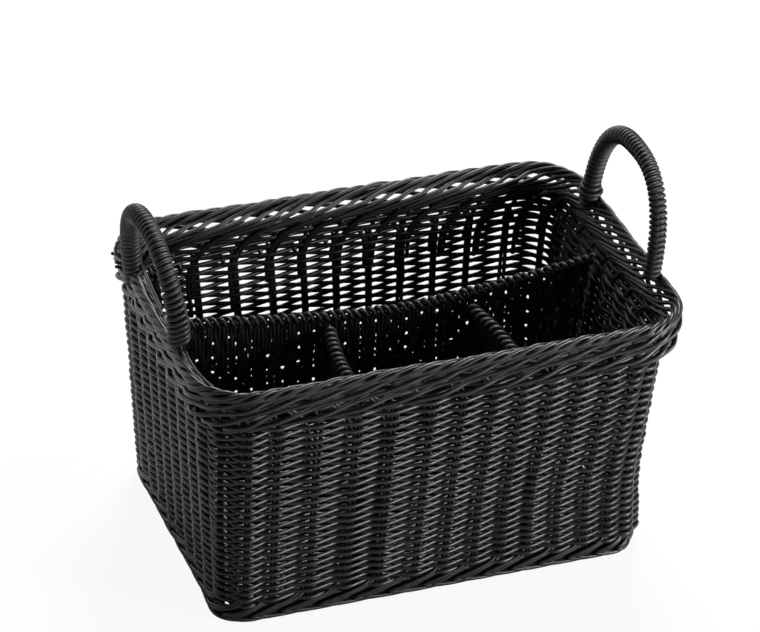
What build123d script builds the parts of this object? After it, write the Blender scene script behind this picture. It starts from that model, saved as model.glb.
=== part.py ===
import os
from math import cos, degrees, pi, radians, sin

from build123d import *

# Overall sizes of the basket, in millimetres
rim_length = 342
rim_width = 233
height = 186
foot_length = 304
foot_width = 208
rim_corner = 40
foot_corner = 25

# Woven side wall: rows of strand that pass outside and inside the stakes by turns
stake_count = 46
wall_rows = 7
strand_thickness = 5
weave_swing = 2.4
wall_rim_inset = 8
wall_foot_inset = 3
gap_height = 6
gap_width = 10
first_gap_row = 2
last_gap_row = 5

# Rolled border round the rim: strands that climb over the crest at a slant
border_height = 26
border_depth = 17
border_crest = 5
border_underside = 6
border_slant = 24
border_groove = 2.2

# Plaited border round the foot, with the ledge that carries the base
foot_height = 13
foot_edge = 2.5
foot_slant = -32
foot_groove = 1.8
foot_depth = 10
ledge_height = 4
ledge_depth = 16

# Woven base panel
base_thickness = 5
base_clearance = 0.4
rib_count = 9
rib_width = 10
rib_height = 1.5

# Dividers: close upright strands over a few rods
divider_thickness = 3.6
divider_swing = 1.6
divider_pitch = 11
divider_clearance = 0.8
long_divider_y = 18.5
long_end_top = 155
long_middle_top = 141
cross_top = 133
left_cross_x = -39
right_cross_x = 61

# Wrapped handles on the short sides
handle_radius = 6
handle_half_span = 54
handle_top = 249.5
handle_lean = 8
handle_inset = 9.5
handle_seat_depth = 9
handle_segments = 16
handle_squareness = 0.8
seat_clearance = 0.3

# Sizes that follow from the driving ones
wall_top = height - border_height
row_height = (wall_top - foot_height) / wall_rows
base_top = ledge_height + base_thickness
floor_height = base_top + rib_height
handle_base = height - handle_seat_depth
handle_foot_x = rim_length / 2 - handle_inset

os.makedirs("parts", exist_ok=True)


def wall_size(z):
    """Length, width and corner radius of the middle of the woven wall's outer face at a height."""
    up = z / height
    length = (foot_length - 2 * wall_foot_inset) * (1 - up) + (rim_length - 2 * wall_rim_inset) * up
    width = (foot_width - 2 * wall_foot_inset) * (1 - up) + (rim_width - 2 * wall_rim_inset) * up
    corner = (foot_corner - wall_foot_inset) * (1 - up) + (rim_corner - wall_rim_inset) * up
    return length, width, corner


def stations(length, width, corner, count, shift=0.0):
    """Evenly spaced places round a rounded rectangle, each with its outward direction."""
    runs = (width - 2 * corner, length - 2 * corner) * 2
    perimeter = sum(runs) + 2 * pi * corner
    places = []
    for number in range(count):
        travel = (number + shift) / count % 1 * perimeter
        facing = Vector(1, 0, 0)
        start = Vector(length / 2, corner - width / 2, 0)
        for run in runs:
            along = facing.rotate(Axis.Z, 90)
            if travel <= run:
                places.append((start + along * travel, facing))
                break
            travel -= run
            start += along * run
            if travel <= corner * pi / 2:
                outward = facing.rotate(Axis.Z, degrees(travel / corner))
                places.append((start + (outward - facing) * corner, outward))
                break
            travel -= corner * pi / 2
            start += (along - facing) * corner
            facing = along
    return places


def woven_outline(size, phase, inset=0.0):
    """Points of a row that swings out and in at the stakes by turns."""
    points = []
    for number, (point, outward) in enumerate(stations(*size, stake_count)):
        swing = weave_swing if (number + phase) % 2 else -weave_swing
        points.append(point + outward * (swing - inset))
    return points


def strand_grooves(size, middle, band_height, slant, depth):
    """Slanting valleys between a border's strands, one to each stake, as bars to cut away."""
    reach = band_height / 2 / sin(radians(abs(slant)))
    bars = []
    for point, outward in stations(*size, stake_count):
        along = outward.rotate(Axis.Z, 90) * cos(radians(slant)) + Vector(0, 0, sin(radians(slant)))
        with BuildSketch(Plane(point + Vector(0, 0, middle), x_dir=outward, z_dir=along)) as valley:
            with BuildLine():
                Polyline((-depth, 0), (depth, -2 * depth), (depth, 2 * depth), close=True)
            make_face()
        bars.append(extrude(valley.sketch, amount=reach, both=True, mode=Mode.PRIVATE))
    return bars


def inner_reach(z):
    """Half length and half width that stay clear of the inside of the woven wall at a height."""
    length, width, _ = wall_size(z)
    lost = strand_thickness + weave_swing + divider_clearance
    return length / 2 - lost, width / 2 - lost


# Side wall: one row on another, with a gap in every second bay of the middle rows
with BuildPart() as side_wall:
    courses = []
    for row in range(wall_rows):
        bottom = foot_height + row * row_height
        size = wall_size(bottom + row_height / 2)
        with BuildSketch(Plane.XY.offset(bottom)):
            with BuildLine():
                Polyline(*woven_outline(size, row), close=True)
            make_face()
            with BuildLine():
                Polyline(*woven_outline(size, row, strand_thickness), close=True)
            make_face(mode=Mode.SUBTRACT)
        courses.append(extrude(amount=row_height, mode=Mode.PRIVATE))
    add(courses, clean=False)
    slots = []
    for row in range(first_gap_row, last_gap_row + 1):
        middle = foot_height + (row + 0.5) * row_height
        size = wall_size(middle)
        with BuildSketch(Plane.XY.offset(middle - gap_height / 2)):
            for number, (point, outward) in enumerate(stations(*size, stake_count, 0.5)):
                on_run = 0 in (round(outward.X, 3), round(outward.Y, 3))
                if on_run and (number + row) % 2:
                    with Locations((point.X, point.Y)):
                        if round(outward.X):
                            Rectangle(4 * strand_thickness, gap_width)
                        else:
                            Rectangle(gap_width, 4 * strand_thickness)
        slots.append(extrude(amount=gap_height, mode=Mode.PRIVATE))
    add(slots, mode=Mode.SUBTRACT, clean=False)
side_wall.part.label = "side_wall"
export_step(side_wall.part, "parts/side_wall.step")

# Top border: a band round the rim, open over the compartments, with a seat for each handle leg
with BuildPart() as top_border:
    rim_size = (rim_length, rim_width, rim_corner)
    with BuildSketch(Plane.XY.offset(wall_top)):
        RectangleRounded(*rim_size)
        RectangleRounded(
            rim_length - 2 * border_depth, rim_width - 2 * border_depth, rim_corner - border_depth, mode=Mode.SUBTRACT
        )
    extrude(amount=border_height)
    chamfer(top_border.faces().sort_by(Axis.Z)[-1].outer_wire().edges(), border_crest)
    chamfer(top_border.faces().sort_by(Axis.Z)[0].outer_wire().edges(), border_underside)
    add(
        strand_grooves(rim_size, wall_top + border_height / 2, border_height, border_slant, border_groove),
        mode=Mode.SUBTRACT, clean=False,
    )
    with BuildSketch(Plane.XY.offset(handle_base)):
        for x in (-handle_foot_x, handle_foot_x):
            with Locations((x, -handle_half_span), (x, handle_half_span)):
                RegularPolygon(handle_radius + seat_clearance, 8)
    extrude(amount=handle_seat_depth, mode=Mode.SUBTRACT)
top_border.part.label = "top_border"
export_step(top_border.part, "parts/top_border.step")

# Foot border: a band that the basket stands on, with a ledge inside for the base
with BuildPart() as foot_border:
    foot_size = (foot_length, foot_width, foot_corner)
    with BuildSketch():
        RectangleRounded(*foot_size)
        RectangleRounded(
            foot_length - 2 * ledge_depth, foot_width - 2 * ledge_depth, foot_corner - foot_depth, mode=Mode.SUBTRACT
        )
    extrude(amount=foot_height)
    chamfer(foot_border.faces().sort_by(Axis.Z)[0].outer_wire().edges(), foot_edge)
    with BuildSketch(Plane.XY.offset(ledge_height)):
        RectangleRounded(foot_length - 2 * foot_depth, foot_width - 2 * foot_depth, foot_corner - foot_depth)
    extrude(amount=foot_height, mode=Mode.SUBTRACT)
    add(
        strand_grooves(foot_size, foot_height / 2, foot_height, foot_slant, foot_groove),
        mode=Mode.SUBTRACT, clean=False,
    )
foot_border.part.label = "foot_border"
export_step(foot_border.part, "parts/foot_border.step")

# Base panel with its raised ribs
with BuildPart() as base_panel:
    base_length = foot_length - 2 * foot_depth - 2 * base_clearance
    base_width = foot_width - 2 * foot_depth - 2 * base_clearance
    with BuildSketch(Plane.XY.offset(ledge_height)):
        RectangleRounded(base_length, base_width, foot_corner - foot_depth)
    extrude(amount=base_thickness)
    with BuildSketch(Plane.XY.offset(base_top)):
        with GridLocations(0, base_width / rib_count, 1, rib_count):
            Rectangle(base_length - 2 * foot_corner, rib_width)
    extrude(amount=rib_height)
base_panel.part.label = "base_panel"
export_step(base_panel.part, "parts/base_panel.step")


def ribbed_sheet(start, end, middle):
    """Corners, in the sheet's own plan, of a sheet whose strands swing to either side by turns."""
    count = round((end - start) / divider_pitch)
    near, far = [], []
    for number in range(count + 1):
        x = start + (end - start) * number / count
        swing = divider_swing if number % 2 else -divider_swing
        near.append((x, middle - divider_thickness / 2 + swing))
        far.append((x, middle + divider_thickness / 2 + swing))
    return near + far[::-1]


# Long divider from end wall to end wall, its top edge sagging between them
floor_reach = inner_reach(floor_height)[0]
end_reach = inner_reach(long_end_top)[0]
with BuildPart() as long_divider:
    with BuildSketch(Plane.XY.offset(floor_height)):
        with BuildLine():
            Polyline(*ribbed_sheet(-end_reach, end_reach, long_divider_y), close=True)
        make_face()
    extrude(amount=height)
    with BuildSketch(Plane.XZ):
        with BuildLine():
            Polyline(
                (-end_reach, long_end_top), (-floor_reach, floor_height),
                (floor_reach, floor_height), (end_reach, long_end_top),
            )
            ThreePointArc((end_reach, long_end_top), (0, long_middle_top), (-end_reach, long_end_top))
        make_face()
    extrude(amount=rim_width, both=True, mode=Mode.INTERSECT)
long_divider.part.label = "long_divider"
export_step(long_divider.part, "parts/long_divider.step")

# Cross dividers from the front wall to the long divider
cross_end = long_divider_y - divider_thickness / 2 - divider_swing
cross_floor_reach = inner_reach(floor_height)[1]
cross_top_reach = inner_reach(cross_top)[1]
for name, x in (("left_cross_divider", left_cross_x), ("right_cross_divider", right_cross_x)):
    with BuildPart() as cross_divider:
        with BuildSketch(Plane.XY.offset(floor_height)):
            with BuildLine():
                Polyline(*[(x + across, y) for y, across in ribbed_sheet(-cross_top_reach, cross_end, 0)], close=True)
            make_face()
        extrude(amount=cross_top - floor_height)
        with BuildSketch(Plane.YZ):
            with BuildLine():
                Polyline(
                    (-cross_top_reach, cross_top), (-cross_floor_reach, floor_height),
                    (cross_end, floor_height), (cross_end, cross_top), close=True,
                )
            make_face()
        extrude(amount=rim_length, both=True, mode=Mode.INTERSECT)
    cross_divider.part.label = name
    export_step(cross_divider.part, f"parts/{name}.step")


def arch_place(share, side):
    """Point of a handle's middle line above the rim, a share of the way from its near leg to its far one."""
    across = -cos(pi * share)
    y = handle_half_span * (1 if across > 0 else -1) * abs(across) ** handle_squareness
    lift = abs(sin(pi * share)) ** handle_squareness
    return Vector(side * (handle_foot_x + handle_lean * lift), y, height + (handle_top - height) * lift)


# Handles: an arch of bound strand on each short side, its legs let down into the rim
for name, side in (("left_handle", -1), ("right_handle", 1)):
    with BuildPart() as handle:
        arch = [arch_place(number / handle_segments, side) for number in range(handle_segments + 1)]
        seat = Vector(0, 0, handle_seat_depth)
        with BuildLine():
            Polyline(arch[0] - seat, *arch, arch[-1] - seat)
        with BuildSketch(Plane(arch[0] - seat, x_dir=(1, 0, 0), z_dir=(0, 0, 1))):
            RegularPolygon(handle_radius, 8)
        sweep(transition=Transition.RIGHT)
    handle.part.label = name
    export_step(handle.part, f"parts/{name}.step")
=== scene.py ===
import math

import bpy
import numpy as np
from mathutils import Matrix, Vector


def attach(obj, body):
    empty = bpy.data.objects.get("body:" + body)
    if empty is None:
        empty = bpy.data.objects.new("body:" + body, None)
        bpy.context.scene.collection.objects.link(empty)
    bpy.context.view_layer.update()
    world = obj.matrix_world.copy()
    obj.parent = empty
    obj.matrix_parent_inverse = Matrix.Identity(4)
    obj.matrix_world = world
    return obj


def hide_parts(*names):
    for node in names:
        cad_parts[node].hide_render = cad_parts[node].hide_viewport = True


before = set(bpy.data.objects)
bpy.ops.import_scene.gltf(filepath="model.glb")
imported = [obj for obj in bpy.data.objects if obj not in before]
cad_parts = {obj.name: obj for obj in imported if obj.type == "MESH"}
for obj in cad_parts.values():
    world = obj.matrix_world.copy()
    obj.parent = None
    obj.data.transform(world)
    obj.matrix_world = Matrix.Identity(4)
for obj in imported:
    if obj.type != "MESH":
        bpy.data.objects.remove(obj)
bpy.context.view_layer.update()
rng = np.random.default_rng(11)

# sizes in millimetres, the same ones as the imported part
rim = dict(length=342, width=233, corner=40)
foot = dict(length=304, width=208, corner=25)
basketHeight = 186
wallFootInset, wallRimInset = 3, 8
wallThickness = 5
stakeCount = 46
stakePitch = 23.5
floorHeight = 10.5
# how far the right wall is drawn in: at mid height, fading out below the border, and a little more low down
waist = dict(depth=6.0, fadeAt=178, fadeOver=25, lowDepth=2.0, lowAt=62, lowReach=30, fullFromX=100)
# the stakes aren't evenly set: where some of them stand, in even shares of the loop
stakeNumbers = [-1, *range(9, 20), *range(32, 46), 55]
stakeSpots = [-1.26, 7.97, 9.29, 10.55, 11.74, 12.91, 14.03, 15.17, 16.22, 17.26, 18.43, 19.69,
              31.87, 32.75, 33.97, 35.16, 36.27, 37.46, 38.43, 39.45, 40.4, 41.33, 42.3, 43.28,
              44.06, 44.74, 53.97]
# uneven corners, as stake, reach in stakes and how far the outline is drawn in there
rimPull = ((8.8, 1.3, 2.5), (22.8, 1.8, 3.2))
footPull = ((45.6, 0.9, 4.0), (30.9, 0.9, -2.5))
# below the border the rim's outline leans in with the wall, by these shares of the drop
rimLean = dict(below=165, length=0.15, width=0.08, corner=0.054)


def toLinear(hexColour):
    parts = [int(hexColour[i:i + 2], 16) / 255 for i in (1, 3, 5)]
    return [c / 12.92 if c <= 0.04045 else ((c + 0.055) / 1.055) ** 2.4 for c in parts] + [1.0]


def addNode(tree, kind, settings=None, links=None):
    node = tree.nodes.new(kind)
    for key, value in (settings or {}).items():
        if key in node.inputs:
            node.inputs[key].default_value = value
        else:
            setattr(node, key, value)
    for key, source in (links or {}).items():
        tree.links.new(source, node.inputs[key])
    return node


def strandMaterial(name, look):
    mat = bpy.data.materials.new(name)
    mat.use_nodes = True
    tree = mat.node_tree
    tree.nodes.clear()
    place = addNode(tree, "ShaderNodeTexCoord").outputs["Object"]
    # slow drift of tone from one strand to the next, then dust and scuffs on top of it
    drift = addNode(tree, "ShaderNodeTexNoise", {"Scale": look["driftScale"], "Detail": 3.0},
                    {"Vector": place})
    tone = addNode(tree, "ShaderNodeValToRGB", None, {"Fac": drift.outputs["Fac"]})
    for stop, at, colour in zip(tone.color_ramp.elements, (0.3, 0.7), (look["dark"], look["pale"])):
        stop.position = at
        stop.color = toLinear(colour)
    scuff = addNode(tree, "ShaderNodeTexNoise", {"Scale": look["scuffScale"], "Detail": 5.0},
                    {"Vector": place})
    sheen, dull = look["roughness"]
    gloss = addNode(tree, "ShaderNodeMapRange",
                    {"From Min": 0.3, "From Max": 0.7, "To Min": sheen, "To Max": dull},
                    {"Value": scuff.outputs["Fac"]})
    grain = addNode(tree, "ShaderNodeTexNoise", {"Scale": look["grainScale"], "Detail": 2.0},
                    {"Vector": place})
    bump = addNode(tree, "ShaderNodeBump", {"Strength": look["bump"], "Distance": 0.0002},
                   {"Height": grain.outputs["Fac"]})
    shader = addNode(tree, "ShaderNodeBsdfPrincipled", {"IOR": 1.49},
                     {"Base Color": tone.outputs["Color"], "Roughness": gloss.outputs["Result"],
                      "Normal": bump.outputs["Normal"]})
    addNode(tree, "ShaderNodeOutputMaterial", None, {"Surface": shader.outputs["BSDF"]})
    return mat


# extruded polypropylene strand, satin: near black with soft grey streaks of light along each strand
wallStrand = strandMaterial("polypropyleneStrand", dict(
    dark="#0f0f10", pale="#19191a", roughness=(0.36, 0.48),
    driftScale=60, scuffScale=420, grainScale=1600, bump=0.2))
# the same strand on handles and dividers, where hands and cutlery rub it: duller, with fainter streaks
wrapStrand = strandMaterial("polypropyleneWrap", dict(
    dark="#0f0f10", pale="#19191a", roughness=(0.48, 0.6),
    driftScale=90, scuffScale=500, grainScale=1800, bump=0.2))


def smoothLine(keys, count):
    # smooth line through rows of places, with even steps along it
    keys = np.asarray(keys, float)
    run = np.append(0, np.cumsum(np.linalg.norm(np.diff(keys, axis=0), axis=1)))
    slopes = np.gradient(keys, run, axis=0)
    at = np.linspace(0, run[-1], count)
    i = np.clip(np.searchsorted(run, at, side="right") - 1, 0, len(keys) - 2)
    span = (run[i + 1] - run[i])[:, None]
    t = (at - run[i])[:, None] / span
    return ((2 * t ** 3 - 3 * t ** 2 + 1) * keys[i] + (t ** 3 - 2 * t ** 2 + t) * span * slopes[i]
            + (3 * t ** 2 - 2 * t ** 3) * keys[i + 1] + (t ** 3 - t ** 2) * span * slopes[i + 1])


def wallSize(z):
    up = np.asarray(z, float) / basketHeight
    length = (foot["length"] - 2 * wallFootInset) * (1 - up) + (rim["length"] - 2 * wallRimInset) * up
    width = (foot["width"] - 2 * wallFootInset) * (1 - up) + (rim["width"] - 2 * wallRimInset) * up
    corner = (foot["corner"] - wallFootInset) * (1 - up) + (rim["corner"] - wallRimInset) * up
    return length, width, corner


def pullIn(z):
    z = np.asarray(z, float)
    up = np.clip(z / basketHeight, 0, 1)
    fade = np.clip((waist["fadeAt"] - z) / waist["fadeOver"], 0, 1)
    low = waist["lowDepth"] * np.exp(-((z - waist["lowAt"]) / waist["lowReach"]) ** 2)
    return waist["depth"] * 4 * up * (1 - up) * fade + low


def loopPlace(stake, size, inset, z):
    # places round a rounded rectangle, counted in stakes from the front end of the right side
    stake, inset, z = np.broadcast_arrays(*[np.asarray(v, float) for v in (stake, inset, z)])
    length, width, corner = [np.broadcast_to(v, stake.shape) for v in size]
    quarter = corner * math.pi / 2
    runs = [width - 2 * corner, length - 2 * corner] * 2
    spot = np.interp(stake % stakeCount, stakeNumbers, stakeSpots)
    travel = spot / stakeCount % 1 * (sum(runs) + 4 * quarter)
    point = np.zeros(stake.shape + (3,))
    outward = np.zeros(stake.shape + (3,))
    done = np.zeros(stake.shape)
    for k, run in enumerate(runs):
        facing = np.array([(1, 0, 0), (0, 1, 0), (-1, 0, 0), (0, -1, 0)][k], float)
        along = np.array([(0, 1, 0), (-1, 0, 0), (0, -1, 0), (1, 0, 0)][k], float)
        half = (length if k % 2 == 0 else width) / 2
        step = travel - done
        turn = np.clip((step - run) / corner, 0, math.pi / 2)
        out = facing * np.cos(turn)[..., None] + along * np.sin(turn)[..., None]
        here = (facing * (half - corner)[..., None] + along * (np.clip(step, 0, run) - run / 2)[..., None]
                + out * corner[..., None])
        use = (step >= 0)[..., None]
        point = np.where(use, here, point)
        outward = np.where(use, out, outward)
        done = done + run + quarter
    point = point - outward * inset[..., None]
    point[..., 0] -= pullIn(z) * np.clip(point[..., 0] / waist["fullFromX"], 0, 1)
    point[..., 2] = z
    return point, outward


def pulled(stake, spots):
    # how far the outline is drawn in at a stake, by the spots near it on the loop
    half = stakeCount / 2
    stake = np.asarray(stake, float)
    return sum(inward * np.exp(-(((stake - at + half) % stakeCount - half) / reach) ** 2)
               for at, reach, inward in spots)


def wallPlace(stake, offset, z):
    # offset is outward from the middle of the woven wall
    return loopPlace(stake, wallSize(z), wallThickness / 2 - np.asarray(offset, float), z)


def rimPlace(stake, inset, z):
    drop = np.clip(rimLean["below"] - np.asarray(z, float), 0, None)
    size = [rim[side] - rimLean[side] * drop for side in ("length", "width", "corner")]
    return loopPlace(stake, size, inset + pulled(stake, rimPull), z)


def footPlace(stake, inset, z):
    size = (foot["length"], foot["width"], foot["corner"])
    return loopPlace(stake, size, inset + pulled(stake, footPull), z)


def tubeMesh(paths, reference, radius, sides=8, closed=False):
    # one tube along each path; reference is a direction that no path runs along
    paths = np.asarray(paths, float)
    if paths.ndim == 2:
        paths = paths[None]
    count, steps = paths.shape[:2]
    if closed:
        along = np.roll(paths, -1, 1) - np.roll(paths, 1, 1)
    else:
        along = np.gradient(paths, axis=1)
    along /= np.linalg.norm(along, axis=-1, keepdims=True)
    side = np.cross(along, np.broadcast_to(reference, paths.shape))
    side /= np.linalg.norm(side, axis=-1, keepdims=True)
    up = np.cross(side, along)
    angle = np.linspace(0, 2 * math.pi, sides, endpoint=False)
    ring = side[:, :, None] * np.cos(angle)[:, None] + up[:, :, None] * np.sin(angle)[:, None]
    radius = np.broadcast_to(radius, (count, steps))[..., None, None]
    verts = (paths[:, :, None] + ring * radius).reshape(-1, 3)
    index = np.arange(count * steps * sides).reshape(count, steps, sides)
    nextRing = np.roll(index, -1, 1) if closed else index[:, 1:]
    thisRing = index if closed else index[:, :-1]
    corners = [thisRing, nextRing, np.roll(nextRing, -1, 2), np.roll(thisRing, -1, 2)]
    quads = np.stack(corners, -1).reshape(-1, 4)
    caps = [] if closed else index[:, 0].tolist() + index[:, -1, ::-1].tolist()
    return verts, quads.tolist() + caps


def makePiece(name, tubes, material, nodes):
    verts, faces, start = [], [], 0
    for points, polygons in tubes:
        verts.append(points)
        faces += [[i + start for i in polygon] for polygon in polygons]
        start += len(points)
    mesh = bpy.data.meshes.new(name)
    mesh.from_pydata((np.concatenate(verts) / 1000).tolist(), [], faces)
    mesh.shade_smooth()
    mesh.materials.append(material)
    piece = bpy.data.objects.new(name, mesh)
    bpy.context.scene.collection.objects.link(piece)
    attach(piece, "root")
    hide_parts(*nodes)
    print(name, "triangles", sum(len(p) - 2 for p in faces))


# side wall: plain weave round pairs of stakes, rows close at the foot and looser above
weave = dict(first=12.5, last=167.0, lowPitch=2.7, highPitch=3.0, swing=3.1, topSwing=1.3, radius=1.55,
             bend=0.95, steps=8, sides=8, zJitter=0.2, swingJitter=0.25,
             looseAt=(55, 105, 138, 160), looseShare=(0, 1, 1, 0.3),
             flatFrom=156, flatOver=12, flatSooner=20, tuckFrom=155, tuckOver=5, tuck=3.0)
# stakes 0 to 8 stand on the right, then come the back to 21, the left to 31 and the front to 45
sooner = dict(at=(0, 21, 24, 43, 46), share=(1, 1, 0, 0, 1))
fuller = dict(at=(0, 7, 9, 11, 20, 22, 24, 29, 31, 44, 46),
              by=(0.45, 0.45, 0, -0.08, -0.08, 0, 0.15, 0.15, 0, 0, 0.45))
rowHeights = [weave["first"]]
while rowHeights[-1] < weave["last"]:
    share = np.interp(rowHeights[-1], weave["looseAt"], weave["looseShare"])
    pitch = weave["lowPitch"] + (weave["highPitch"] - weave["lowPitch"]) * share
    rowHeights.append(rowHeights[-1] + pitch)
stakeSteps = np.arange(stakeCount * weave["steps"]) / weave["steps"]


def loopNoise(amount):
    # a value at each stake, run smoothly round the loop
    values = rng.normal(0, amount, stakeCount)
    return np.interp(stakeSteps, np.arange(stakeCount + 1), np.append(values, values[0]))


def weaveRow(number, z):
    # in and out past the stakes, nearly straight from one to the next
    bend = weave["bend"]
    swing = (-1) ** number * np.arcsin(bend * np.cos(math.pi * stakeSteps)) / math.asin(bend)
    # flatter towards the border, sooner on the back and right walls
    flat = np.interp(stakeSteps, sooner["at"], sooner["share"])
    start = weave["flatFrom"] - weave["flatSooner"] * flat
    fade = np.clip((z - start) / (weave["flatOver"] * (1 + flat)), 0, 1)
    reach = weave["swing"] + (weave["topSwing"] - weave["swing"]) * fade
    # drawn in behind the border on the front and left
    tuck = weave["tuck"] * (1 - flat) * np.clip((z - weave["tuckFrom"]) / weave["tuckOver"], 0, 1)
    offset = swing * (reach + loopNoise(weave["swingJitter"])) - tuck
    return wallPlace(stakeSteps, offset, z + loopNoise(weave["zJitter"]))[0]


rows = np.array([weaveRow(i, z) for i, z in enumerate(rowHeights)])
half = len(rows) // 2
# the right wall is packed closest and the back wall is the most open
rowRadius = weave["radius"] + np.interp(stakeSteps, fuller["at"], fuller["by"])
for name, part in (("weaversLower", rows[:half]), ("weaversUpper", rows[half:])):
    tubes = [tubeMesh(part, (0, 0, 1), rowRadius, weave["sides"], True)]
    makePiece(name, tubes, wallStrand, ["side_wall"])
print("weave rows", len(rows))

# stakes in pairs
stakes = dict(radius=1.42, apart=1.25, low=4.0, high=156.0, steps=40, sway=0.25, swayPitch=30)
tucked = dict(low=(122, 146), high=166, steps=16, aside=0.15, inward=0.8, lean=0.4, leanFrom=140)
heights = np.linspace(stakes["low"], stakes["high"], stakes["steps"])
stakePaths = []
for number in range(stakeCount):
    for hand in (-1, 1):
        sway = rng.normal(0, stakes["sway"]) * np.sin(heights / stakes["swayPitch"] + rng.uniform(0, 6))
        aside = (hand * stakes["apart"] + sway) / stakePitch
        stakePaths.append(wallPlace(number + aside, 0.0, heights))
tubes = [tubeMesh([p for p, _ in stakePaths], [o for _, o in stakePaths], stakes["radius"])]
# one more end tucked in beside each stake, leaning as it comes down from the border
for number in range(stakeCount):
    z = np.linspace(rng.uniform(*tucked["low"]), tucked["high"], tucked["steps"])
    rise = np.clip((z - tucked["leanFrom"]) / (tucked["high"] - tucked["leanFrom"]), 0, 1)
    path, out = wallPlace(number + tucked["aside"] - tucked["lean"] * rise ** 1.5, -tucked["inward"], z)
    tubes.append(tubeMesh(path, out, stakes["radius"], 7))
makePiece("stakes", tubes, wallStrand, ["side_wall"])

# rolled border: each stake's two strands pass outside, climb to the right for five stakes,
# roll over the crest, run down along the inside and end as tails beside a stake
border = dict(radius=1.5, firstRadius=1.65, steps=104, tailAt=(8.85, 12.2), tailLow=(108, 138),
              jitter=0.2, aside=0.02, insetWave=0.25, insetRate=2.2, heightWave=0.3, heightRate=1.98,
              bow=1.5, bowFrom=0.9,
              bowAt=(0.4, 0.9, 3.2, 4.1), bowShare=(0, 1, 1, 0),
              coreInset=4.5, coreHeight=179.9, coreRadius=2.6)
# one strand's way, as stakes travelled, inset from the rim's outline and height
borderLine = [
    (-0.02, 12.0, 146.0), (0.02, 11.2, 151.0), (0.12, 8.8, 154.6), (0.3, 6.4, 156.6), (0.6, 4.8, 158.8),
    (1.2, 4.0, 162.6), (2.0, 3.6, 167.8), (2.7, 3.3, 172.3), (3.3, 3.0, 176.2), (3.9, 2.7, 180.0),
    (4.2, 2.8, 181.9), (4.45, 3.5, 183.6), (4.7, 4.6, 184.6), (4.95, 5.7, 183.8), (5.2, 6.7, 182.4),
    (5.42, 7.5, 180.9), (5.6, 8.2, 179.8), (5.72, 9.1, 179.0), (5.85, 10.5, 178.0), (5.97, 11.9, 176.9),
    (6.25, 13.1, 175.4), (6.9, 14.2, 172.5), (7.6, 14.4, 168.8), (8.2, 14.0, 164.6), (8.55, 13.2, 157.5),
    (8.75, 12.4, 148.0)]
# the second strand comes out from behind the first below the crest
# and runs half a stake ahead of it from there
second = dict(at=(2.8, 3.4, 3.9, 6.2, 7.4, 8.4), ahead=(0.2, 0.45, 0.5, 0.48, 0.4, -0.1),
              inset=(3.0, 0.5, 0, 0, 0.4, 0))
paths, outs = [], []
for number in range(2 * stakeCount):
    stake, isSecond = divmod(number, 2)
    keys = np.array(borderLine + [border["tailAt"] + (rng.uniform(*border["tailLow"]),)])
    if isSecond:
        keys = keys[keys[:, 0] > second["at"][0]]
    line = smoothLine(keys * (stakePitch, 1, 1), border["steps"])
    travel = line[:, 0] / stakePitch
    inset = line[:, 1] + rng.normal(0, border["jitter"])
    inset = inset + border["insetWave"] * np.sin(travel * border["insetRate"] + rng.uniform(0, 6))
    z = line[:, 2] + rng.normal(0, border["jitter"])
    z = z + border["heightWave"] * np.sin(travel * border["heightRate"] + rng.uniform(0, 6))
    # bowed out over one stake and in again at the next
    bow = border["bow"] * np.interp(travel, border["bowAt"], border["bowShare"])
    inset = inset - bow * np.cos(math.pi * (travel - border["bowFrom"]))
    if isSecond:
        inset = inset + np.interp(travel, second["at"], second["inset"])
        travel = travel + np.interp(travel, second["at"], second["ahead"])
    path, out = rimPlace(stake + travel + rng.normal(0, border["aside"]), inset, z)
    paths.append(path)
    outs.append(out)
tubes = [tubeMesh(paths[::2], outs[::2], border["firstRadius"]),
         tubeMesh(paths[1::2], outs[1::2], border["radius"])]
# core that the strands are rolled over
corePath = rimPlace(stakeSteps, border["coreInset"], border["coreHeight"])[0]
tubes.append(tubeMesh(corePath, (0, 0, 1), border["coreRadius"], 10, True))
# three cut ends and a small loop that stand out at the back left corner
cutEnd = dict(tips=((-171.0, 75.3, 186.0), (-170.6, 68.0, 183.4), (-170.6, 67.6, 180.2)),
              toRoot=(7.0, 3.0, -4.5), radius=1.2)
for tip in cutEnd["tips"]:
    root = np.array(tip) + cutEnd["toRoot"]
    tubes.append(tubeMesh(np.linspace(root, tip, 4), (0, 1, 0), cutEnd["radius"]))
loop = dict(line=((-166, 72, 183), (-170.5, 68, 190), (-172, 64, 197), (-170, 61, 203), (-165, 58, 205)),
            radius=1.0)
tubes.append(tubeMesh(smoothLine(loop["line"], 24), (0.3, 1, 0), loop["radius"]))
makePiece("rimBorder", tubes, wallStrand, ["top_border"])

# foot border: strands sweep down to the left, turn and run back under the edge
plait = dict(radius=1.45, steps=36, jitter=0.12, secondReach=0.1, secondBehind=0.13, secondLift=0.15,
             rings=((5.2, 4.2), (5.6, 7.0), (5.4, 9.8), (9.0, 3.0)), ringRadius=1.5)
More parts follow.
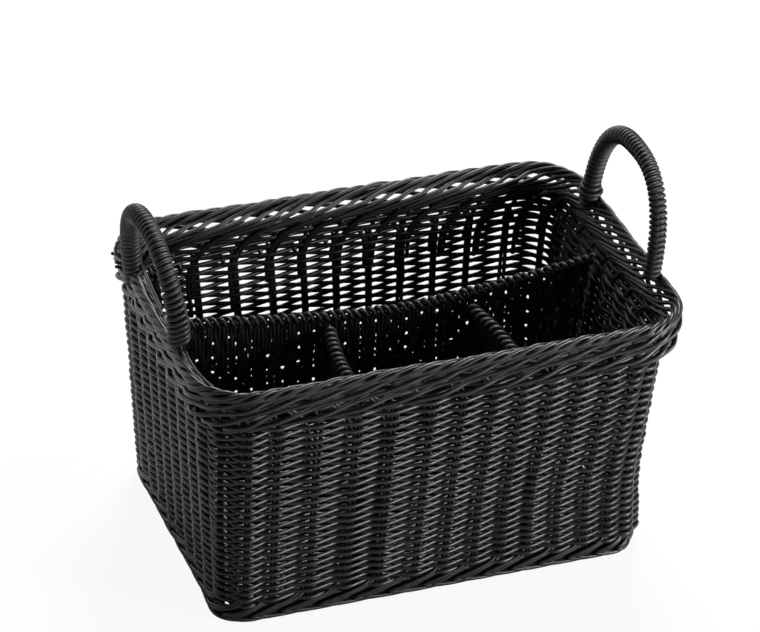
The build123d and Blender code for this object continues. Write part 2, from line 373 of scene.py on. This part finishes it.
# one strand's way, as stakes travelled, inset from the foot's outline and height
footLine = [(0.0, 6.2, 18.0), (-0.3, 3.6, 13.0), (-0.8, 1.9, 9.6), (-1.25, 1.5, 6.6), (-1.5, 2.2, 4.9),
            (-1.2, 2.0, 3.5), (-0.6, 2.8, 2.3), (0.0, 5.4, 1.6), (0.5, 9.4, 1.6)]
line = smoothLine(np.array(footLine) * (stakePitch, 1, 1), plait["steps"])
paths = []
for number in range(2 * stakeCount):
    stake, isSecond = divmod(number, 2)
    travel = line[:, 0] / stakePitch * (1 + plait["secondReach"] * isSecond)
    travel = stake + travel - plait["secondBehind"] * isSecond
    inset = line[:, 1] + rng.normal(0, plait["jitter"])
    paths.append(footPlace(travel, inset, line[:, 2] + plait["secondLift"] * isSecond)[0])
tubes = [tubeMesh(paths, (0, 0, 1), plait["radius"])]
for inset, z in plait["rings"]:
    tubes.append(tubeMesh(footPlace(stakeSteps, inset, z)[0], (0, 0, 1), plait["ringRadius"], 8, True))
makePiece("footBorder", tubes, wallStrand, ["foot_border"])

# base: rods from front to back and weavers along, all inside the foot border
base = dict(length=283, width=187, z=6.6, rodPitch=22.0, rodApart=1.45, rowPitch=2.55, swing=2.1,
            radius=1.4, squareness=1.5, roundFrom=80, roundOver=14.5, roundBy=0.06)
y = np.linspace(-base["width"] / 2, base["width"] / 2, 8)
tubes = []
for x in np.arange(-6, 7) * base["rodPitch"]:
    for hand in (-1, 1):
        rod = np.stack([np.full(8, x + hand * base["rodApart"]), y, np.full(8, base["z"])], 1)
        tubes.append(tubeMesh(rod, (1, 0, 0), base["radius"]))
x = np.linspace(-base["length"] / 2, base["length"] / 2, 13 * 7 + 1)
rowPlaces = np.arange(-base["width"] / 2 + 2, base["width"] / 2 - 1, base["rowPitch"])
for number, row in enumerate(rowPlaces):
    # the last rows are shorter, for the round corners
    short = 1 - base["roundBy"] * max(0, abs(row) - base["roundFrom"]) / base["roundOver"]
    swing = np.tanh(base["squareness"] * np.cos(math.pi * x * short / base["rodPitch"]))
    swing = (-1) ** number * swing / math.tanh(base["squareness"])
    path = np.stack([x * short, np.full(len(x), row), base["z"] + base["swing"] * swing], 1)
    tubes.append(tubeMesh(path, (0, 1, 0), base["radius"], 6))
makePiece("basePanel", tubes, wallStrand, ["base_panel"])

# dividers: close upright strands with pin holes between them, rods woven in and a whipped top edge
divider = dict(pitch=2.72, radius=1.44, swing=0.6, step=2.2, fromWall=8.2, shortest=6, belowTop=2,
               holeRows=12, holeGap=12.0, holeSize=(0.8, 1.45), holeReach=2.0, holeShare=0.75, holeJitter=1.2,
               rodRadius=1.3, rodSway=2.1, topRodRadius=2.0, topRodDrop=3.5,
               whipSteps=14, whipDrop=1.0, whipLift=2.1, whipUneven=0.16, whipDrift=0.7)
longSheet = dict(y=18.5, high=164, middleTop=145.3, lowestAt=8, endRise=15, endAt=145,
                 rodHeights=(None, 92.0, 40.0), whip=dict(pitch=5.5, reach=2.8, radius=1.45))
crossSheet = dict(endGap=3.6, bowFrom=15, bowRun=120, rodHeights=(None, 80.0),
                  whip=dict(pitch=6.0, reach=2.8, radius=2.1))


def endReach(z, right):
    return wallSize(z)[0] / 2 - divider["fromWall"] - (pullIn(z) if right else 0)


def sideReach(z):
    return wallSize(z)[1] / 2 - divider["fromWall"]


def dividerPiece(name, node, start, end, point, acrossAxis, topAt, lowAt, rodHeights, whip):
    count = int((end - start) / divider["pitch"])
    places = np.linspace(start, end, count + 1)
    holes = []
    for i in range(0, count, 2):
        for j in range(divider["holeRows"]):
            if rng.uniform() < divider["holeShare"]:
                level = floorHeight + divider["holeGap"] * (j + 0.5 * (i // 2 % 2))
                z = level + rng.normal(0, divider["holeJitter"])
                holes.append((i, z, rng.uniform(*divider["holeSize"])))
    tubes = []
    for i, along in enumerate(places):
        top, low = float(topAt(along)) - divider["belowTop"], float(lowAt(along))
        if top - low < divider["shortest"]:
            continue
        z = np.linspace(low, top, int((top - low) / divider["step"]) + 2)
        shift = sum(((1 if i > h else -1) * size * np.exp(-((z - at) / divider["holeReach"]) ** 2)
                     for h, at, size in holes if i in (h, h + 1)), np.zeros(len(z)))
        across = (-1) ** (i // 2) * divider["swing"] * np.sin(math.pi * z / divider["holeGap"])
        tubes.append(tubeMesh(point(along + shift, across, z), acrossAxis, divider["radius"], 6))
    # strand laced over the top edge in close loops
    loops = (end - start) / whip["pitch"]
    turn = np.linspace(0, 2 * math.pi * loops, int(loops * divider["whipSteps"]))
    along = start + (end - start) * turn / turn[-1]
    middle = topAt(along) - divider["whipDrop"]
    uneven = rng.normal(1, divider["whipUneven"], int(loops) + 2)
    uneven = np.repeat(uneven, divider["whipSteps"])[:len(turn)]
    over, under = np.clip(np.sin(turn), 0, 1), np.clip(np.sin(turn), -1, 0)
    drift = divider["whipDrift"] * (uneven - 1) * np.sin(turn / 2)
    path = point(along + drift, whip["reach"] * np.cos(turn),
                 middle + divider["whipLift"] * (uneven * over + under))
    tubes.append(tubeMesh(path, path - point(along, 0 * along, middle), whip["radius"], 8))
    # rods: a straight one inside the top edge, the others woven from face to face
    along = np.linspace(start, end, int(count * 1.5))
    sway = divider["rodSway"] * np.sin(math.pi * along / (2 * divider["pitch"]))
    lows = np.array([lowAt(a) for a in along])
    for height in rodHeights:
        inTop = height is None
        level = topAt(along) - divider["topRodDrop"] if inTop else np.full(len(along), height)
        keep = lows <= level
        rod = point(along[keep], 0 * along[keep] if inTop else sway[keep], level[keep])
        tubes.append(tubeMesh(rod, (0.3, 0.3, 1), divider["topRodRadius" if inTop else "rodRadius"], 6))
    makePiece(name, tubes, wrapStrand, [node])


levels = np.linspace(floorHeight, longSheet["high"], 60)
rightEnds, leftEnds = endReach(levels, True), -endReach(levels, False)


def longPoint(along, across, z):
    along, across, z = np.broadcast_arrays(along, across, z)
    return np.stack([along, longSheet["y"] + across, z], -1)


def longTop(along):
    out = np.abs((np.asarray(along) - longSheet["lowestAt"]) / longSheet["endAt"])
    return longSheet["middleTop"] + longSheet["endRise"] * out ** 1.4


def longLow(along):
    # where the sloping end walls let the sheet start
    outside = (rightEnds < along) | (leftEnds > along)
    return levels[outside][-1] if outside.any() else floorHeight


dividerPiece("longDivider", "long_divider", leftEnds[-1], rightEnds[-1], longPoint, (0, 1, 0),
             longTop, longLow, longSheet["rodHeights"], longSheet["whip"])
frontEnds = -sideReach(levels)


def crossLow(along):
    outside = frontEnds > along
    return levels[outside][-1] if outside.any() else floorHeight


for name, node, middle, bow, top in (("leftCrossDivider", "left_cross_divider", -39, -8, 140.0),
                                     ("rightCrossDivider", "right_cross_divider", 61, 7, 139.5)):
    def crossPoint(along, across, z, middle=middle, bow=bow):
        along, across, z = np.broadcast_arrays(along, across, z)
        bend = bow * np.sin((crossSheet["bowFrom"] - along) * math.pi / crossSheet["bowRun"])
        return np.stack([middle + across + bend, along, z], -1)

    def crossTop(along, top=top):
        return top + 0 * np.asarray(along)

    dividerPiece(name, node, -float(sideReach(top)), longSheet["y"] - crossSheet["endGap"], crossPoint,
                 (1, 0, 0), crossTop, crossLow, crossSheet["rodHeights"], crossSheet["whip"])

# handles: an arch of cores bound round with one strand, flatter and grooved on the near leg
handles = dict(
    leftHandle=dict(node="left_handle", side=-1, span=53.9, top=248.9, lean=8.1, footX=162.2, square=0.83,
                    base=178.0, middleY=0.6, reach=6.1, bare=15.0, tuck=8.0, swell=0.16),
    rightHandle=dict(node="right_handle", side=1, span=54.0, top=250.4, lean=8.2, footX=160.9, square=0.79,
                     base=183.0, middleY=1.9, reach=5.7, bare=9.0, tuck=0.0, swell=0.0))
wrapping = dict(radius=1.75, pitch=3.8, turnSteps=16, seat=175.0, uneven=0.15, farThicker=0.14,
                tuckBelow=214, tuckOver=30, grooveOut=0.16, grooveIn=0.24,
                collar=2.6, collarFromEnd=14, collarReach=4.0, coreSteps=70, coreApart=1.4, coreRadius=3.2)
# thin core strands that come out of the left handle's legs and run along the rim towards the front
looseCores = [[(-163, -44, 193), (-162.6, -52, 188.5), (-162, -66, 185.8), (-160.2, -86, 185.4),
               (-155, -103, 184)]]
looseCores += [[(-164 - 1.2 * k, -45, 191), (-165 - k, -58, 186.7), (-164.4 - k, -76 + 2 * k, 184.8)]
               for k in range(3)]
looseCores += [[(-160 + k, 52, 192), (-158.6 + k, 47, 187.6), (-160.4 + 1.8 * k, 24, 185.9 - 0.6 * k),
                (-162 + 1.8 * k, -8 + 9 * k, 185.2)] for k in range(2)]
looseCoreRadius = 0.95


def archEven(handle, count):
    # the arch with even steps along its length
    turn = math.pi * np.linspace(0, 1, 2000)
    across, lift = -np.cos(turn), np.sin(turn) ** handle["square"]
    spread = np.sign(across) * np.abs(across) ** handle["square"]
    arch = np.stack([handle["side"] * (handle["footX"] + handle["lean"] * lift),
                     handle["middleY"] + handle["span"] * spread,
                     handle["base"] + (handle["top"] - handle["base"]) * lift], 1)
    legs = [np.append(arch[i][:2], wrapping["seat"]) for i in (0, -1)]
    line = np.vstack([legs[0], arch, legs[1]])
    # the near foot of the left one stands closer in
    nearHalf = line[:1000]
    low = np.clip((wrapping["tuckBelow"] - nearHalf[:, 2]) / wrapping["tuckOver"], 0, 1)
    nearHalf[:, 1] += handle["tuck"] * low ** 1.5
    run = np.append(0, np.cumsum(np.linalg.norm(np.diff(line, axis=0), axis=1)))
    at = np.linspace(0, run[-1], count)
    return np.stack([np.interp(at, run, line[:, i]) for i in range(3)], 1), run[-1]


for name, handle in handles.items():
    length = archEven(handle, 2)[1]
    turns = length / wrapping["pitch"]
    middle, _ = archEven(handle, int(turns * wrapping["turnSteps"]))
    share = np.linspace(0, 1, len(middle))
    along = np.gradient(middle, axis=0)
    along /= np.linalg.norm(along, axis=1, keepdims=True)
    across = np.cross(along, (1.0, 0, 0))
    across /= np.linalg.norm(across, axis=1, keepdims=True)
    outward = np.cross(across, along)
    grooved = np.clip((0.45 - share) / 0.2, 0, 1)
    turn = np.linspace(0, 2 * math.pi * turns, len(middle)) + wrapping["uneven"] * np.sin(share * 90)
    # thicker from the top to the far foot, and on the left one at the near foot
    thick = 1 + wrapping["farThicker"] * np.clip((share - 0.35) / 0.2, 0, 1)
    thick = thick + handle["swell"] * np.clip((0.26 - share) / 0.12, 0, 1)
    core = handle["reach"] * thick - wrapping["radius"]
    groove = wrapping["grooveOut"] * np.cos(turn) ** 2 - wrapping["grooveIn"] * np.sin(turn) ** 2
    reach = core * (1 + grooved * groove)
    if handle["side"] > 0:
        # collar where the far leg meets the rim
        fromCollar = share * length - (length - wrapping["collarFromEnd"])
        reach = reach + wrapping["collar"] * np.exp(-(fromCollar / wrapping["collarReach"]) ** 2)
    arm = outward * np.cos(turn)[:, None] + across * np.sin(turn)[:, None]
    bound = share * length >= handle["bare"]
    binding = (middle + arm * reach[:, None])[bound]
    tubes = [tubeMesh(binding, arm[None, bound], wrapping["radius"], 8)]
    inner = archEven(handle, wrapping["coreSteps"])[0]
    inner = inner[np.linspace(0, length, wrapping["coreSteps"]) >= handle["bare"]]
    for hand in (-1, 1):
        beside = inner + np.array([hand * wrapping["coreApart"], 0, 0])
        tubes.append(tubeMesh(beside, (1, 0, 0), wrapping["coreRadius"], 10))
    if handle["side"] < 0:
        for keys in looseCores:
            tubes.append(tubeMesh(smoothLine(keys, 24), (1, 0, 0.3), looseCoreRadius, 6))
    makePiece(name, tubes, wrapStrand, [handle["node"]])

# white floor that shows as paper to the camera and keeps the basket's shadow
floorMesh = bpy.data.meshes.new("floor")
floorMesh.from_pydata([(-4, -4, 0), (4, -4, 0), (4, 4, 0), (-4, 4, 0)], [], [(0, 1, 2, 3)])
floor = bpy.data.objects.new("floor", floorMesh)
bpy.context.scene.collection.objects.link(floor)
paper = bpy.data.materials.new("whitePaperSweep")
paper.use_nodes = True
tree = paper.node_tree
tree.nodes.clear()
seen = addNode(tree, "ShaderNodeLightPath")
share = addNode(tree, "ShaderNodeMath", {"operation": "MULTIPLY"}, {0: seen.outputs["Is Camera Ray"]})
share.inputs[1].default_value = 0.92
matte = addNode(tree, "ShaderNodeBsdfDiffuse", {"Color": toLinear("#ededed")})
glow = addNode(tree, "ShaderNodeEmission", {"Color": toLinear("#ffffff"), "Strength": 1.0})
mix = addNode(tree, "ShaderNodeMixShader", None,
              {0: share.outputs[0], 1: matte.outputs[0], 2: glow.outputs[0]})
addNode(tree, "ShaderNodeOutputMaterial", None, {"Surface": mix.outputs[0]})
floorMesh.materials.append(paper)

# weak light from all round, and a white background for the camera
world = bpy.data.worlds.new("studio")
bpy.context.scene.world = world
world.use_nodes = True
tree = world.node_tree
tree.nodes.clear()
seen = addNode(tree, "ShaderNodeLightPath")
ambient = addNode(tree, "ShaderNodeBackground", {"Color": toLinear("#ffffff"), "Strength": 0.07})
plain = addNode(tree, "ShaderNodeBackground", {"Color": toLinear("#ffffff"), "Strength": 1.0})
mix = addNode(tree, "ShaderNodeMixShader", None,
              {0: seen.outputs["Is Camera Ray"], 1: ambient.outputs[0], 2: plain.outputs[0]})
addNode(tree, "ShaderNodeOutputWorld", None, {"Surface": mix.outputs[0]})


def softbox(name, place, target, size, power):
    lamp = bpy.data.lights.new(name, "AREA")
    lamp.shape = "RECTANGLE"
    lamp.size, lamp.size_y = size
    lamp.energy = power
    box = bpy.data.objects.new(name, lamp)
    box.location = place
    box.rotation_euler = (Vector(target) - Vector(place)).to_track_quat("-Z", "Y").to_euler()
    bpy.context.scene.collection.objects.link(box)


# key from the right front for the streaks on the strands, weaker ones behind, left and above
aim = (0, 0, 0.1)
softbox("rightBox", (1.4, -1.32, 0.4), aim, (0.55, 0.7), 54)
softbox("backPanel", (-0.6, 2.0, 0.6), aim, (2.0, 1.0), 9)
softbox("leftBox", (-1.4, 0.5, 0.7), aim, (0.7, 0.7), 3)
softbox("topBox", (0.4, 0.85, 1.45), aim, (0.6, 0.6), 36)

# camera at the photograph's place, found from the rim, the foot and the handles
camera = bpy.data.cameras.new("camera")
view = bpy.data.objects.new("camera", camera)
bpy.context.scene.collection.objects.link(view)
bpy.context.scene.camera = view
shot = dict(azimuth=-21.108, elevation=31.862, roll=2.172, distance=2.818076, lens=198.95,
            target=(0.004348, 0.035472, 0.129191))
camera.sensor_fit = "HORIZONTAL"
camera.sensor_width = 36
camera.lens = shot["lens"]
azimuth, elevation, roll = [math.radians(shot[k]) for k in ("azimuth", "elevation", "roll")]
level = math.cos(elevation)
back = Vector((math.sin(azimuth) * level, -math.cos(azimuth) * level, math.sin(elevation)))
right = Vector((math.cos(azimuth), math.sin(azimuth), 0))
upward = back.cross(right)
across = right * math.cos(roll) + upward * math.sin(roll)
upright = upward * math.cos(roll) - right * math.sin(roll)
turned = Matrix((across, upright, back)).transposed().to_4x4()
turned.translation = Vector(shot["target"]) + back * shot["distance"]
view.matrix_world = turned
camera.clip_start, camera.clip_end = 0.1, 50

bpy.context.scene.view_settings.view_transform = "Standard"
